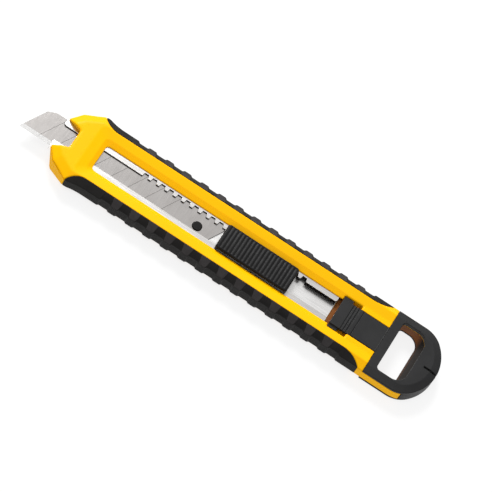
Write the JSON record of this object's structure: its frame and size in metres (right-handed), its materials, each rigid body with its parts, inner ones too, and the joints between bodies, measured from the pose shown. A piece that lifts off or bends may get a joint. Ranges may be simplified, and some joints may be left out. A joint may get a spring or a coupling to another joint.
{
  "type": "utility knife",
  "caption": "Snap-off utility knife with a long blade in a steel channel, a ribbed thumb slide, rubber side grips and a pull-off tail cap with a lanyard hole.",
  "frame": {"origin": "on the flat back, in the middle of the 224.5 mm handle", "axes": "+X from the blade to the tail, +Z out of the slider's face, +Y to the side with the lock rack"},
  "size_m": [0.243, 0.0448, 0.0109],
  "materials": {
    "yellow_shell": "satin moulded ABS, yellow",
    "grip_rubber": "matte charcoal elastomer",
    "holder_steel": "bright rolled stainless sheet",
    "blade_steel": "fine ground carbon steel, polished bevel",
    "black_plastic": "satin charcoal moulding",
    "black_pin": "black finished steel",
    "spring_steel": "spring steel"
  },
  "bodies": {
    "handle": {"housing_back": "yellow_shell", "housing_top": "yellow_shell", "grip_left": "grip_rubber", "grip_right": "grip_rubber", "blade_holder": "holder_steel"},
    "slide": {"blade": "blade_steel", "slider_carrier": "holder_steel", "blade_pin": "black_pin", "carrier_rivets": "holder_steel", "slider_button": "black_plastic", "lock_spring": "spring_steel"},
    "cap": {"end_cap": "black_plastic"},
    "latch": {"cap_latch": "black_plastic"}
  },
  "joints": [
    {"name": "blade_slide", "type": "slide", "parent": "handle", "child": "slide", "axis": [-1, 0, 0], "range_m": [-0.0249, 0.0697], "deforming": ["lock_spring"]},
    {"name": "cap_pull", "type": "slide", "parent": "handle", "child": "cap", "axis": [1, 0, 0], "range_m": [0, 0.06]},
    {"name": "latch_press", "type": "hinge", "parent": "cap", "child": "latch", "pos_m": [0.0642, 0, 0.00885], "axis": [0, -1, 0], "range_deg": [0, 5.5], "stiffness_Nm_per_rad": 0.4, "springref_deg": -2.86}
  ]
}
